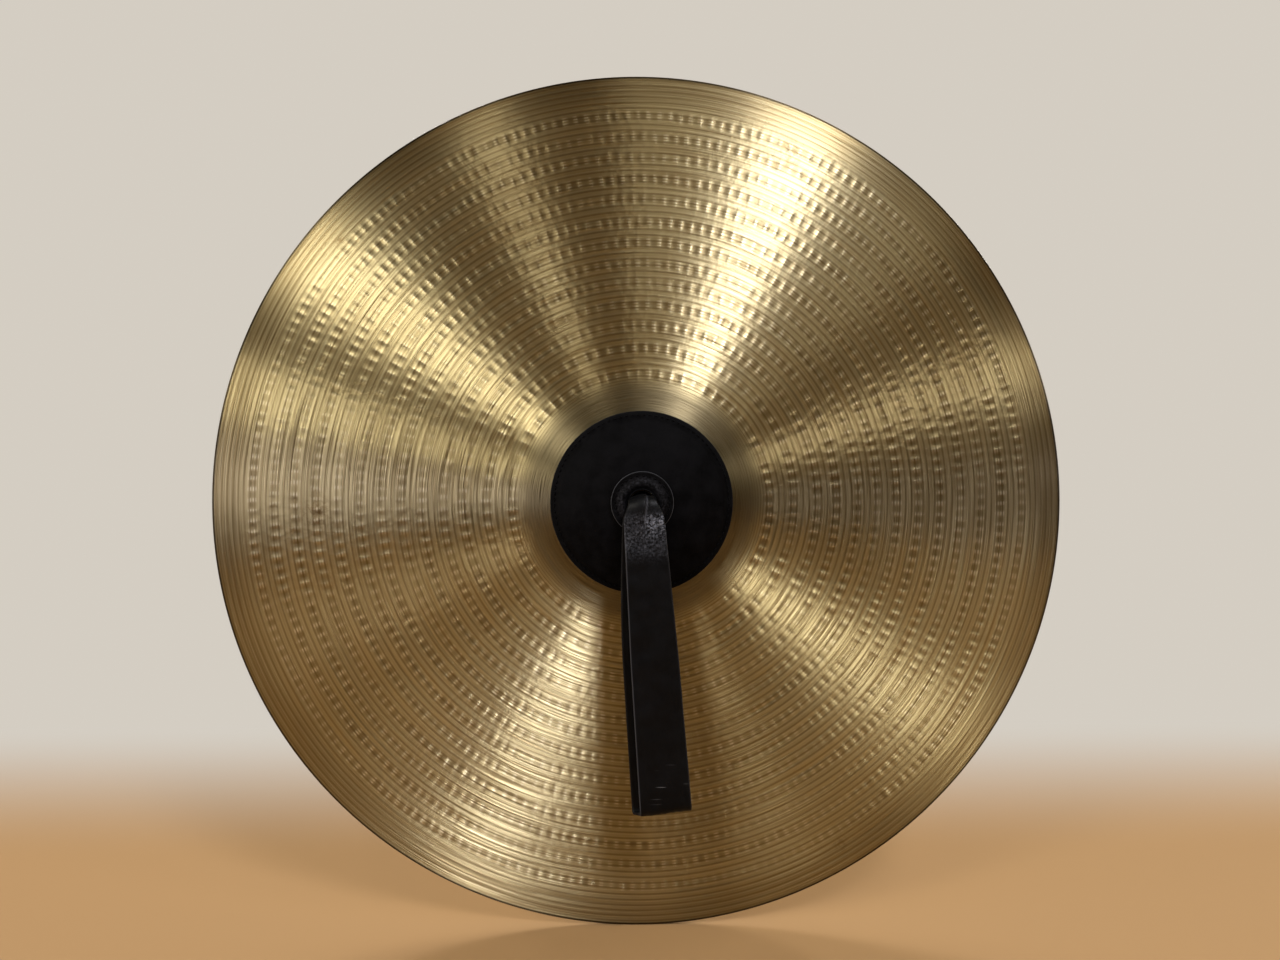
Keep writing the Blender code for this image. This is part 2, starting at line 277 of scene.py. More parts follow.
# B20 bell bronze, cast, rolled, hammered and turned on a lathe, then lacquered. The turned lines
# spread the light across themselves and hardly along, which draws the bright fans.
def bellBronze():
    form = bronze
    material, tree, shader = newMaterial("latheTurnedBellBronze")
    place = add(tree, "TexCoord").node.outputs["Object"]
    across = add(tree, "VectorMath", {0: place, 1: (1, 0, 1)}, operation="MULTIPLY")
    length = add(tree, "VectorMath", {0: across}, operation="LENGTH").node.outputs["Value"]
    heading = add(tree, "VectorMath", {0: across}, operation="NORMALIZE")
    radius = add(tree, "Math", {0: length, 1: 1 / mm}, operation="MULTIPLY")
    alongAxis = add(tree, "CombineXYZ", {"Y": radius})

    # Arcs round the plate: the direction from the centre is squeezed, the radius is not
    def arcs(roundScale, pitch, detail, seed):
        turned = add(tree, "VectorMath", {0: heading, "Scale": roundScale}, operation="SCALE")
        stepped = add(tree, "VectorMath", {0: alongAxis, "Scale": 1 / pitch}, operation="SCALE")
        spot = add(tree, "VectorMath", {0: turned, 1: stepped}, operation="ADD")
        spot = add(tree, "VectorMath", {0: spot, 1: (seed, seed * 1.7, 0)}, operation="ADD")
        return add(tree, "TexNoise", {"Vector": spot, "Scale": 1.0, "Detail": detail, "Roughness": 0.6})

    # Broad grooves with narrow ones between them, closer and fainter on the bell
    edge, inside = form["bellEdge"]
    onBell = add(tree, "MapRange", {"Value": radius, "From Min": edge, "From Max": inside})
    fromBell = add(tree, "Math", {0: radius, 1: plateForm["bellRadius"] + 4}, operation="MINIMUM")
    turns = {0: fromBell, 1: form["extraBellTurns"], 2: radius}
    turns = add(tree, "Math", turns, operation="MULTIPLY_ADD")
    turns = add(tree, "Math", {0: turns, 1: math.tau / form["groovePitch"]}, operation="MULTIPLY")
    drift = arcs(1.5, 40, 1, 3.1)
    broadTurn = add(tree, "Math", {0: drift, 1: form["grooveDrift"], 2: turns}, operation="MULTIPLY_ADD")
    narrowTurn = add(tree, "Math", {0: broadTurn, 1: 2.0, 2: 1.1}, operation="MULTIPLY_ADD")
    broad = add(tree, "Math", {0: broadTurn}, operation="SINE")
    narrow = add(tree, "Math", {0: narrowTurn}, operation="SINE")
    groove = add(tree, "Math", {0: narrow, 1: form["narrowShare"], 2: broad}, operation="MULTIPLY_ADD")
    flatter = add(tree, "Math", {0: onBell, 1: -form["bellFlatter"], 2: 1.0}, operation="MULTIPLY_ADD")
    groove = add(tree, "Math", {0: groove, 1: flatter}, operation="MULTIPLY")

    # Fine lines, and threads too fine to be seen, which only spread the light
    lines = arcs(2.0, form["linePitch"], 2, 8.4)
    threads = arcs(3.0, form["threadPitch"], 1, 1.9)

    # The turned lines tilt the surface along the radius only, so their slope is added to the normal
    broadTilt = add(tree, "Math", {0: broadTurn}, operation="COSINE")
    tilt = add(tree, "Math", {0: narrowTurn}, operation="COSINE")
    tilt = add(tree, "Math", {0: tilt, 1: form["narrowTilt"], 2: broadTilt}, operation="MULTIPLY_ADD")
    tilt = add(tree, "Math", {0: tilt, 1: form["grooveSlope"]}, operation="MULTIPLY")
    for cuts, slope in ((lines, form["lineSlope"]), (threads, form["threadSlope"])):
        centred = add(tree, "Math", {0: cuts, 1: 0.5}, operation="SUBTRACT")
        tilt = add(tree, "Math", {0: centred, 1: slope, 2: tilt}, operation="MULTIPLY_ADD")
    radial = add(
        tree, "VectorTransform", {0: heading}, vector_type="VECTOR", convert_from="OBJECT",
        convert_to="WORLD")
    tilted = add(tree, "VectorMath", {0: radial, "Scale": tilt}, operation="SCALE")
    facing = add(tree, "NewGeometry").node.outputs["Normal"]
    tilted = add(tree, "VectorMath", {0: facing, 1: tilted}, operation="ADD")
    tilted = add(tree, "VectorMath", {0: tilted}, operation="NORMALIZE")
    struck = add(tree, "Attribute", attribute_name="struck").node.outputs["Fac"]
    grain = add(tree, "TexNoise", {"Vector": place, "Scale": 1 / (mm * form["grainSize"]), "Detail": 2.0})
    relief = add(tree, "Math", {0: grain, 1: form["grainDepth"]}, operation="MULTIPLY")
    relief = add(tree, "Math", {0: struck, 1: -form["markDepth"], 2: relief}, operation="MULTIPLY_ADD")
    normal = add(tree, "Bump", {"Height": relief, "Normal": tilted, "Strength": 1.0, "Distance": mm})

    # Layers of tone over cloudy metal, painted shade and painted highlights among them, each with what
    # drives it, from which value to which it comes up, and how far
    clouds = {"Vector": place, "Scale": 1 / (mm * form["cloudSize"]), "Detail": 3.0, "Roughness": 0.55}
    clouds = add(tree, "TexNoise", clouds)
    clouds = add(tree, "MapRange", {"Value": clouds, "From Min": 0.35, "From Max": 0.65})
    metal = {0: clouds, 6: colour(form["deep"]), 7: colour(form["light"])}
    metal = add(tree, "Mix", metal, data_type="RGBA")
    handled, lip = ([rimRadius - inset for inset in form[band]] for band in ("handledBand", "lipBand"))
    layers = (
        # painted shade in the valleys of the grooves
        (groove, 0.2, -1.2, 0.57, "line"),  # dark in the valleys of the grooves
        (lines, 0.56, 0.3, 0.2, "line"),
        (onBell, 0.0, 1.0, 0.8, "bell"),
        (radius, *handled, 0.42, "line"),
        # painted highlight on the crests of the grooves
        (groove, 0.6, 1.4, 0.35, "crestHighlight"),
        # a thin line of painted shade along the rounded edge of the rim
        (radius, *lip, 0.9, "rim"),
        (struck, 0.25, 1.0, 0.58, "line"),  # painted shade in the pits of the hammer marks
    )
    for driver, low, high, most, tone in layers:
        share = {"Value": driver, "From Min": low, "From Max": high, "To Max": most}
        share = add(tree, "MapRange", share)
        metal = add(tree, "Mix", {0: share, 6: metal, 7: colour(form[tone])}, data_type="RGBA")

    # Painted highlight on the ridges between the marks, where the narrow grooves rise
    ridge = add(tree, "Attribute", attribute_name="ridge").node.outputs["Fac"]
    turned = add(tree, "MapRange", {"Value": narrow, "From Min": -0.5, "From Max": 0.7, "To Max": 0.8})
    ridgeHighlight = add(tree, "Math", {0: ridge, 1: turned}, operation="MULTIPLY")
    metal = add(tree, "Mix", {0: ridgeHighlight, 6: metal, 7: colour(form["crestHighlight"])}, data_type="RGBA")
    blotch = {"Vector": place, "Scale": 1 / (mm * form["blotchSize"]), "Detail": 3.0, "Roughness": 0.6}
    blotch = add(tree, "TexNoise", blotch)
    blotch = add(tree, "MapRange", {"Value": blotch, "From Min": 0.42, "From Max": 0.62})
    for x, y, reach, strength in form["stains"]:
        spot = {0: across, 1: (x * mm, 0, y * mm)}
        near = add(tree, "VectorMath", spot, operation="DISTANCE").node.outputs["Value"]
        near = {"Value": near, "From Min": reach * mm, "From Max": 0.2 * reach * mm, "To Max": strength}
        near = add(tree, "MapRange", near)
        near = add(tree, "Math", {0: near, 1: blotch}, operation="MULTIPLY")
        metal = add(tree, "Mix", {0: near, 6: metal, 7: colour(form["stain"])}, data_type="RGBA")
    smoothest = form["roughness"]
    rough = {"Value": clouds, "To Min": smoothest + form["cloudRoughness"], "To Max": smoothest}
    rough = add(tree, "MapRange", rough)
    rough = add(tree, "Math", {0: onBell, 1: form["bellRoughness"], 2: rough}, operation="MULTIPLY_ADD")
    finishShader(
        tree, shader, Base_Color=metal, Metallic=1.0, Roughness=rough, Anisotropic=form["anisotropy"],
        Tangent=radial, Normal=normal)
    return material


# Sizes of the patterns in millimetres, drawn coarser than real pores and fibres so that they show,
# and how often the scratches come in a metre each way
hideGrain = dict(mottle=7.69, crease=2.33, scuffSheen=1.18, scratches=(60.0, 1.0, 1500.0))


# Vegetable tanned cowhide, dyed black through, waxed and pressed smooth: a close grain of pores and fine
# creases, a soft gloss, grey fibre where it is cut, and painted sheen on rubbed spots, edges and creases.
def blackLeather(name, settings):
    material, tree, shader = newMaterial(name)
    place = add(tree, "TexCoord").node.outputs["Object"]
    pores = add(tree, "TexVoronoi", {"Vector": place, "Scale": 1 / (mm * settings["poreSize"])})
    mottle = {"Vector": place, "Scale": 1 / (mm * hideGrain["mottle"]), "Detail": 4.0, "Roughness": 0.6}
    mottle = add(tree, "TexNoise", mottle)
    creases = {"Vector": place, "Scale": 1 / (mm * hideGrain["crease"])}
    creases = add(tree, "TexVoronoi", creases, feature="DISTANCE_TO_EDGE")
    creases = add(tree, "MapRange", {"Value": creases, "From Max": 0.28})
    rubAndSheen, cutAndHighlight, worn = (
        add(tree, "Attribute", attribute_name=mark).node.outputs["Fac"] for mark in ("rubAndSheen", "cutAndHighlight", "worn"))
    height = add(tree, "Math", {0: pores, 1: settings["poreDepth"]}, operation="MULTIPLY")
    height = {0: mottle, 1: settings["mottleDepth"], 2: height}
    height = add(tree, "Math", height, operation="MULTIPLY_ADD")
    creaseDepth = add(tree, "Math", {0: rubAndSheen, 1: settings["creaseDepth"]}, operation="MULTIPLY")
    height = add(tree, "Math", {0: creases, 1: creaseDepth, 2: height}, operation="MULTIPLY_ADD")
    normal = add(tree, "Bump", {"Height": height, "Strength": 1.0, "Distance": mm})
    tone = add(tree, "MapRange", {"Value": mottle, "From Min": 0.35, "From Max": 0.68})
    hide = {0: tone, 6: colour(settings["deep"]), 7: colour(settings["light"])}
    hide = add(tree, "Mix", hide, data_type="RGBA")
    hide = add(tree, "Mix", {0: cutAndHighlight, 6: hide, 7: colour(settings["edge"])}, data_type="RGBA")

    # Pale specks of painted sheen come up where the leather is rubbed, least in its creases, and grey
    # fibre shows in fine scratches where it is worn
    scuffSheen = {"Vector": place, "Scale": 1 / (mm * hideGrain["scuffSheen"]), "Detail": 3.0, "Roughness": 0.65}
    scuffSheen = add(tree, "TexNoise", scuffSheen)
    scuffSheen = add(tree, "MapRange", {"Value": scuffSheen, "From Min": 0.4, "From Max": 0.62, "To Max": 0.95})
    folded = add(tree, "MapRange", {"Value": creases, "To Min": 0.4, "To Max": 1.15})
    for share in (folded, rubAndSheen):
        scuffSheen = add(tree, "Math", {0: scuffSheen, 1: share}, operation="MULTIPLY")
    hide = add(tree, "Mix", {0: scuffSheen, 6: hide, 7: colour(settings["scuffSheen"])}, data_type="RGBA")
    flat = add(tree, "VectorMath", {0: place, 1: hideGrain["scratches"]}, operation="MULTIPLY")
    scratch = add(tree, "TexNoise", {"Vector": flat, "Scale": 1.0, "Detail": 1.0})
    scratch = {"Value": scratch, "From Min": 0.7, "From Max": 0.78, "To Max": 0.7}
    scratch = add(tree, "MapRange", scratch)
    scratch = add(tree, "Math", {0: scratch, 1: worn}, operation="MULTIPLY")
    hide = add(tree, "Mix", {0: scratch, 6: hide, 7: colour(settings["scratch"])}, data_type="RGBA")
    middle = settings["roughness"]
    rough = add(tree, "MapRange", {"Value": tone, "To Min": middle - 0.05, "To Max": middle + 0.08})
    for share, change in ((cutAndHighlight, 0.25), (rubAndSheen, settings["polish"])):
        rough = add(tree, "Math", {0: share, 1: change, 2: rough}, operation="MULTIPLY_ADD")
    finishShader(
        tree, shader, Base_Color=hide, Roughness=rough, Normal=normal,
        Specular_IOR_Level=settings["specular"], Coat_Weight=settings["wax"], Coat_Roughness=0.35)
    return material


# The scuff colour paints the pale specks of sheen, and the edge colour is grey cut fibre that also serves as
# a painted highlight on lit edges.
padLeather = dict(
    deep="030304", light="0b0b0d", edge="38393c", scuffSheen="26262a", scratch="3a3a3c",
    roughness=0.6, specular=0.035, wax=0.0, polish=-0.12,
    poreSize=0.9, poreDepth=0.05, mottleDepth=0.12, creaseDepth=0.0,
)
strapLeather = dict(
    deep="040507", light="07080b", edge="4c4e55", scuffSheen="70747f", scratch="b4b4b8",
    roughness=0.47, specular=0.1, wax=0.05, polish=-0.16,
    poreSize=0.8, poreDepth=0.03, mottleDepth=0.07, creaseDepth=0.2,
)
splitHide = dict(deep="30241c", light="5a4636", fibre=1.11, depth=0.2)


# Split hide, left rough on the side that lies on the metal: matt, brown and fibrous
def splitLeather():
    material, tree, shader = newMaterial("brownSplitHide")
    place = add(tree, "TexCoord").node.outputs["Object"]
    fibre = {"Vector": place, "Scale": 1 / (mm * splitHide["fibre"]), "Detail": 5.0, "Roughness": 0.7}
    fibre = add(tree, "TexNoise", fibre)
    normal = {"Height": fibre, "Strength": 0.6, "Distance": splitHide["depth"] * mm}
    normal = add(tree, "Bump", normal)
    hide = {0: fibre, 6: colour(splitHide["deep"]), 7: colour(splitHide["light"])}
    hide = add(tree, "Mix", hide, data_type="RGBA")
    finishShader(tree, shader, Base_Color=hide, Roughness=0.9, Normal=normal, Sheen_Weight=0.15)
    return material


felt = dict(deep="4a4a4c", light="86847f", fleck=0.714, depth=0.25)


# Pressed wool felt: no gloss, a haze of short fibres, and grey flecks of mixed wool
def woolFelt():
    material, tree, shader = newMaterial("pressedGreyWoolFelt")
    place = add(tree, "TexCoord").node.outputs["Object"]
    fleck = {"Vector": place, "Scale": 1 / (mm * felt["fleck"]), "Detail": 4.0, "Roughness": 0.75}
    fleck = add(tree, "TexNoise", fleck)
    normal = add(tree, "Bump", {"Height": fleck, "Strength": 0.8, "Distance": felt["depth"] * mm})
    wool = {0: fleck, 6: colour(felt["deep"]), 7: colour(felt["light"])}
    wool = add(tree, "Mix", wool, data_type="RGBA")
    finishShader(tree, shader, Base_Color=wool, Roughness=0.97, Normal=normal, Sheen_Weight=0.4)
    return material


thread = dict(deep="020203", light="08080a", depth=0.08)


# Waxed three-ply thread: satin, with the twist showing as slanting ridges
def waxedThread():
    material, tree, shader = newMaterial("waxedBlackThread")
    along = add(tree, "Attribute", attribute_name="twist").node.outputs["Fac"]
    ridge = add(tree, "Math", {0: along}, operation="SINE")
    normal = add(tree, "Bump", {"Height": ridge, "Strength": 0.7, "Distance": thread["depth"] * mm})
    shade = add(tree, "MapRange", {"Value": ridge, "From Min": -1.0})
    twine = {0: shade, 6: colour(thread["deep"]), 7: colour(thread["light"])}
    twine = add(tree, "Mix", twine, data_type="RGBA")
    finishShader(tree, shader, Base_Color=twine, Roughness=0.6, Normal=normal, Specular_IOR_Level=0.05)
    return material


bronzeMetal = bellBronze()
padHide = blackLeather("waxedBlackCowhide", padLeather)
strapHide = blackLeather("oiledBlackHarnessLeather", strapLeather)
brownHide = splitLeather()
greyFelt = woolFelt()
blackThread = waxedThread()
print("materials ready")

# PLATE
# Radii of the hammered rings and the pitch of the blows along them, measured on the photograph.
# Ranges are from and to, waves are a middle and a swing, and a worn spot has its place round the
# plate in radians, how much of the marks is gone there, and its width.
hammering = dict(
    rings=(73.5, 87.5, 101, 113, 125.5, 137, 149.5, 162, 175.5, 188.5, 201.5, 214.5, 228), pitch=6.27,
    depth=0.13, halfLength=2.2, ends=1.2, sink=0.05, sinkWidth=4.5, wander=0.35, stray=0.25, late=0.035,
    force=(0.75, 1.12), swell=(0.92, 0.16), wear=(0.7, 1.12), strength=(0.95, 0.22), strengthWaves=5,
    worn=((5.15, 0.45, 0.5), (2.5, 0.6, 0.5)), seed=5,
)


# Depth of the hammer marks, and how far each point is struck or on a ridge. Along each ring the blows
# follow at a steady pitch and run into one another as a row of shallow cups with a ridge between
# each two, each a little off and harder or softer.
def hammerMarks(radius, turn):
    form = hammering
    rng = np.random.default_rng(form["seed"])
    depth, struck, ridge = np.zeros((3, *np.broadcast_shapes(radius.shape, turn.shape)))

    # A slow change round the plate, with its own phase
    def wave(middle, swing, count):
        return middle + swing * np.sin(turn * count + rng.uniform(0, math.tau))

    for ring in form["rings"]:
        count = round(math.tau * ring / form["pitch"])
        wander = wave(0, form["wander"], rng.integers(2, 6))
        place = turn / math.tau * count + wander + rng.uniform(0, 1)
        blow = np.floor(place).astype(int) % count
        force = rng.uniform(*form["force"], count)[blow]
        off = rng.normal(0, form["stray"], count)[blow]
        late = rng.normal(0, form["late"], count)[blow]
        swell = wave(*form["swell"], rng.integers(1, 4))
        strength = wave(*form["strength"], form["strengthWaves"])
        for spot, loss, width in form["worn"]:
            strength = strength - loss * bump(turn - spot, width)
        strength = strength * rng.uniform(*form["wear"], count)[blow]
        along = np.clip(np.abs(place % 1 - 0.5 - late) * 2, 0, 1)
        reach = 1 - rise(np.abs(radius - ring - off), form["halfLength"], form["ends"])
        pit = (1 - along**2) * reach
        depth += form["depth"] * force * swell * pit + form["sink"] * bump(radius - ring, form["sinkWidth"])
        struck += pit * force * strength
        ridge += reach * smooth(along * 2.4 - 1.2) * strength
    return depth, struck, ridge


# Mesh rows are given from the middle of each hammered ring, and as insets from the rim
plateMesh = dict(
    columns=165, finerFrom=143, rimRound=0.7, holeRound=0.3, rowsPerRing=(-4.6, -3.0, -1.2, 1.2, 3.0, 4.6),
    rimInsets=(18.5, 16, 13, 10.5, 8, 5.5, 3, 1.4),
)


# The plate as one closed skin turned from a profile, with more columns where the blows are
def plateSkin():
    form, count, thickness, hole = plateMesh, plateMesh["columns"], plateForm["thickness"], plateForm["hole"]
    rows = (np.array(hammering["rings"])[:, None] + np.array(form["rowsPerRing"])).ravel()
    bend = halfTurn(9)
    plainRows = rimRadius - np.array(form["rimInsets"])
    rimRows = np.concatenate((plainRows, rimRadius - form["rimRound"] + form["rimRound"] * np.cos(bend)))
    rimOffsets = thickness / 2 + thickness / 2 * np.sin(bend)
    rimOffsets = np.concatenate((np.full(len(plainRows), thickness), rimOffsets))
    bend = halfTurn(5)[::-1]
    insideRows = spans((rimRadius - 2, 76, 16), (72, 62, 5), (56, hole + 2, 8))
    underRows = np.concatenate((insideRows, hole + form["holeRound"] - form["holeRound"] * np.cos(bend)))
    underOffsets = thickness / 2 + thickness / 2 * np.sin(bend)
    underOffsets = np.concatenate((np.zeros(len(insideRows)), underOffsets))
    # Columns, radii, offset from the inner face, and whether it is hammered
    bands = (
        (count, spans((hole + 1, 44, 9)), thickness, False),
        (count * 2, spans((47, 59, 6), (60.5, 68.5, 7)), thickness, False),
        (count * 4, rows[rows < form["finerFrom"]], thickness, True),
        (count * 8, rows[rows > form["finerFrom"]], thickness, True),
        (count * 2, rimRows, rimOffsets, False),
        (count, underRows, underOffsets, False),
    )
    points, faces, pits, ridges, first, last = [], [], [], [], 0, None
    for columns, radii, offsets, hammered in bands:
        radii = radii[:, None]
        offsets = np.broadcast_to(offsets, radii.shape[:1])[:, None]
        turn = turnsOf(columns)
        depth, struck, ridge = hammerMarks(radii, turn) if hammered else np.zeros((3, len(radii), columns))
        pits.append(struck.ravel())
        ridges.append(ridge.ravel())
        points.append(turnedPoints(radii, offsets, -depth, turn).reshape(-1, 3))
        faces.append(gridFaces(len(radii), columns, first=first))
        if last:
            faces.append(joinRings(*last, first, columns))
        last = (first + (len(radii) - 1) * columns, columns)
        first += len(radii) * columns
    ring = np.arange(count)
    ringOn = (ring + 1) % count
    faces.append(np.stack((ring + last[0], ring, ringOn, ringOn + last[0]), -1))
    groups = [np.concatenate([group for group in faces if group.shape[1] == size]) for size in (4, 3)]
    marks = {"struck": np.concatenate(pits), "ridge": np.concatenate(ridges)}
    return np.concatenate(points), groups, marks


platePoints, plateFaces, plateMarks = plateSkin()
for side in sides:
    addPiece(
        "bronze_plate", side, platePoints, plateFaces, bronzeMetal, "cymbal", ["plate"], plateMarks)
print("plates:", 2 * len(plateFaces[0]) + len(plateFaces[1]), "triangles each")

# PAD
padForm = dict(
    lining=1.2, core=1.6, coreEdge=0.4, coreTaper=14.0, cover=1.6, seamMargin=6.0, seamDrop=2.4,
    seamInset=2.4, grooveDepth=0.45, grooveWidth=1.0, pucker=0.1, puckerWidth=2.4, wave=0.16,
    wavelength=21, waveFade=4, rows=44, columns=300, rounding=0.45, edgeGrey=0.3,
)
liningForm = dict(rows=12, columns=120, rounding=0.3)
coreForm = dict(rows=14, columns=120, rounding=0.3)
collarForm = dict(
    radius=17.0, thickness=2.3, seamInset=2.4, grooveDepth=0.4, grooveWidth=0.8, pucker=0.07, puckerWidth=1.8,
    roll=0.9, rollAt=3.6, rollWidth=2.4, dish=0.9, mouth=2.4, wave=0.06, wavelength=6,
    rubAndSheenAt=4.5, rubAndSheenWidth=2.2, rows=22, columns=180, rounding=0.5,
)
coreRadius = padRadius - padForm["seamMargin"]
liningTop = plateForm["thickness"] + gap + padForm["lining"]


def coreTop(radius):
    crown = rise(-radius, -coreRadius, padForm["coreTaper"])
    return liningTop + gap + padForm["coreEdge"] + (padForm["core"] - padForm["coreEdge"]) * crown


def coverBottom(radius):
    seam = rise(radius, coreRadius + gap, padForm["seamDrop"])
    return (coreTop(radius) + gap) * (1 - seam) + (liningTop + gap) * seam


def coverTop(radius):
    return coverBottom(radius) + padForm["cover"]


def collarBottom(radius):
    return coverTop(radius) + gap


def collarTop(radius):
    return collarBottom(radius) + collarForm["thickness"]


# A sheet turned round the hole, with rounded edges: over the top outwards, round the rim and back
# underneath. The relief is added to the top. Returns the points, the faces and where its rim is cut,
# most at the rim's top corner, where the grey is also a painted highlight.
def turnedSheet(outer, bottomOf, topOf, form, relief=None):
    rows, columns, rounding = form["rows"], form["columns"], form["rounding"]
    radii = padHole + rounding + (outer - padHole - 2 * rounding) * np.linspace(0, 1, rows)
    bend = halfTurn(9)[1:-1]
    outwards, upwards = np.cos(bend) ** 0.7, np.sign(np.sin(bend)) * np.abs(np.sin(bend)) ** 0.7

    def edge(at, way):
        middle, half = (topOf(at) + bottomOf(at)) / 2, (topOf(at) - bottomOf(at)) / 2
        return at - way * rounding + way * rounding * outwards, middle + way * half * upwards

    outerRadii, outerOffsets = edge(np.float64(outer), 1)
    innerRadii, innerOffsets = edge(np.float64(padHole), -1)
    allRadii = np.concatenate((radii, outerRadii, radii[::-1], innerRadii))[:, None]
    offsets = np.concatenate((topOf(radii), outerOffsets, bottomOf(radii[::-1]), innerOffsets))[:, None]
    # The outer rim is grey where it is cut, most at its top corner, where the grey is also a painted
    # highlight
    cutAndHighlight = np.concatenate((np.zeros(rows), smooth(np.sin(bend) + 0.5), np.zeros(rows + len(innerRadii))))
    turn = turnsOf(columns)
    isTop = np.concatenate((np.ones(rows), np.zeros(len(cutAndHighlight) - rows)))[:, None]
    out = isTop * relief(allRadii, turn) if relief else np.zeros((len(cutAndHighlight), columns))
    points = turnedPoints(allRadii, offsets, out, turn)
    faces = gridFaces(len(cutAndHighlight), columns, closeRows=True)
    return points.reshape(-1, 3), [faces], np.repeat(cutAndHighlight, columns)


seamRadius = padRadius - padForm["seamInset"]
collarSeam = collarForm["radius"] - collarForm["seamInset"]
stitchForm = dict(pitch=3.3, share=0.78, radius=0.42, dip=0.75, twist=(9, 2), stations=8, ring=6)
padStitches = round(math.tau * seamRadius / stitchForm["pitch"])
collarStitches = round(math.tau * collarSeam / stitchForm["pitch"])


# The groove that a row of stitches draws into the leather, with a pucker at each stitch
def seamRelief(form, away, stitches, turn):
    pucker = form["pucker"] * bump(away, form["puckerWidth"]) * np.cos(stitches * turn)
    return pucker - form["grooveDepth"] * bump(away, form["grooveWidth"])


# The cover is drawn down along its seam and waves a little
def coverRelief(radius, turn):
    seam = seamRelief(padForm, radius - seamRadius, padStitches, turn)
    fade = rise(-radius, -padRadius, padForm["waveFade"])
    waves = ripple(radius * np.cos(turn), radius * np.sin(turn), padForm["wavelength"], 4)
    return seam + padForm["wave"] * fade * waves


# The collar swells in a roll round the hole and sinks at its mouth, where the strap pulls it in
def collarRelief(radius, turn):
    form = collarForm
    seam = seamRelief(form, radius - collarSeam, collarStitches, turn)
    roll = form["roll"] * bump(radius - padHole - form["rollAt"], form["rollWidth"])
    sink = form["dish"] * smooth((padHole + form["mouth"] - radius) / 2)
    waves = ripple(radius * np.cos(turn), radius * np.sin(turn), form["wavelength"], 9)
    return roll + seam - sink + form["wave"] * waves


# Stitches as short capsules along a circle, whose ends dive into the leather
def stitchRow(radius, surface, count):
    form = stitchForm
    along = np.linspace(-1, 1, form["stations"])[None, :, None]
    turnAround = math.tau * np.arange(form["ring"])[None, None, :] / form["ring"]
    middle = math.tau * (np.arange(count) + 0.5)[:, None, None] / count
    turn = middle + along * math.pi / count * form["share"]
    thick = form["radius"] * np.sqrt(np.clip(1 - np.abs(along) ** 5, 0.02, 1))
    reach = radius + thick * np.cos(turnAround)
    level = surface - form["dip"] * np.abs(along) ** 3 - thick * np.sin(turnAround)
    points = np.stack(np.broadcast_arrays(reach * np.cos(turn), reach * np.sin(turn), level), -1)
    one = gridFaces(form["stations"], form["ring"])
    per = form["stations"] * form["ring"]
    starts = (np.arange(count) * per)[:, None, None]
    tube = (one[None] + starts).reshape(-1, 4)
    cap = np.arange(form["ring"])
    caps = np.stack((cap[::-1], cap + per - form["ring"]))
    caps = (caps[None] + starts).reshape(-1, form["ring"])
    twist = along * form["twist"][0] + turnAround * form["twist"][1]
    twist = np.broadcast_to(twist, points.shape[:-1]).ravel()
    return points.reshape(-1, 3), [tube, caps], {"twist": twist}


def flatAt(height):
    return lambda radius: np.zeros_like(radius) + height


# The crease has its distances below the hinge and how far right of the middle it runs there, and the
# bend its two ends as height above the hinge and distance outside it
strapForm = dict(
    lean=4.3, length=164.5, thickness=2.2, loop=6.6, neckRadius=4.2, shoulderDrop=7.0,
    throatWidth=11.4, neckWidth=12.0, shoulderWidth=21.5, gripWidth=25.5, foldWidth=27.5,
    backShift=4.2, foldDrop=1.5, slant=3.0, edge=0.8, crease=((-3, 8.5, 17), (2.9, 0.5, 0.3)),
    bend=((2.0, -5.0), (-10.0, 1.0)), stations=230, faceColumns=56, arc=5,
)
hingeHeight = abs(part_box("front_strap")[0].y) / mm - strapForm["loop"] / 2 - strapForm["thickness"]

for side in sides:
    points, faces, _ = turnedSheet(
        padRadius, flatAt(plateForm["thickness"] + gap), flatAt(liningTop), liningForm)
    addPiece("brown_lining", side, lean(points), faces, brownHide, "pad", ["pad_lining"])
    points, faces, _ = turnedSheet(coreRadius, flatAt(liningTop + gap), coreTop, coreForm)
    addPiece("felt_core", side, lean(points), faces, greyFelt, "pad", ["pad_core"])
    points, faces, cutAndHighlight = turnedSheet(padRadius, coverBottom, coverTop, padForm, coverRelief)
    # The pad's rim is grey at its top corner, partly a painted highlight
    cover = addPiece(
        "leather_pad", side, lean(points), faces, padHide, "pad", ["pad_cover"],
        {"cutAndHighlight": padForm["edgeGrey"] * cutAndHighlight})
    points, faces, cutAndHighlight = turnedSheet(
        collarForm["radius"], collarBottom, collarTop, collarForm, collarRelief)
    # A ring of painted sheen lies on the collar's roll, where it is also glossier, and its cut rim is grey at
    # the top corner, partly a painted highlight
    away = np.hypot(points[:, 0], points[:, 1]) - padHole
    marks = {"cutAndHighlight": cutAndHighlight, "rubAndSheen": bump(away - collarForm["rubAndSheenAt"], collarForm["rubAndSheenWidth"])}
    addPiece("leather_collar", side, lean(points), faces, padHide, "pad", ["collar"], marks)
    for name, radius, top, count, bed in (
        ("pad", seamRadius, coverTop, padStitches, 0.2),
        ("collar", collarSeam, collarTop, collarStitches, 0.1),
    ):
        points, faces, marks = stitchRow(radius, layer(radius, top(radius))[0] - bed, count)
        addPiece(
            f"{name}_stitches", side, lean(points), faces, blackThread, "pad",
            [f"{name}_stitching"], marks)
print("pads ready, hinge height", round(hingeHeight, 2))


# STRAP
def lengthsAlong(points):
    return np.concatenate(([0], np.cumsum(np.linalg.norm(np.diff(points, axis=0), axis=1))))


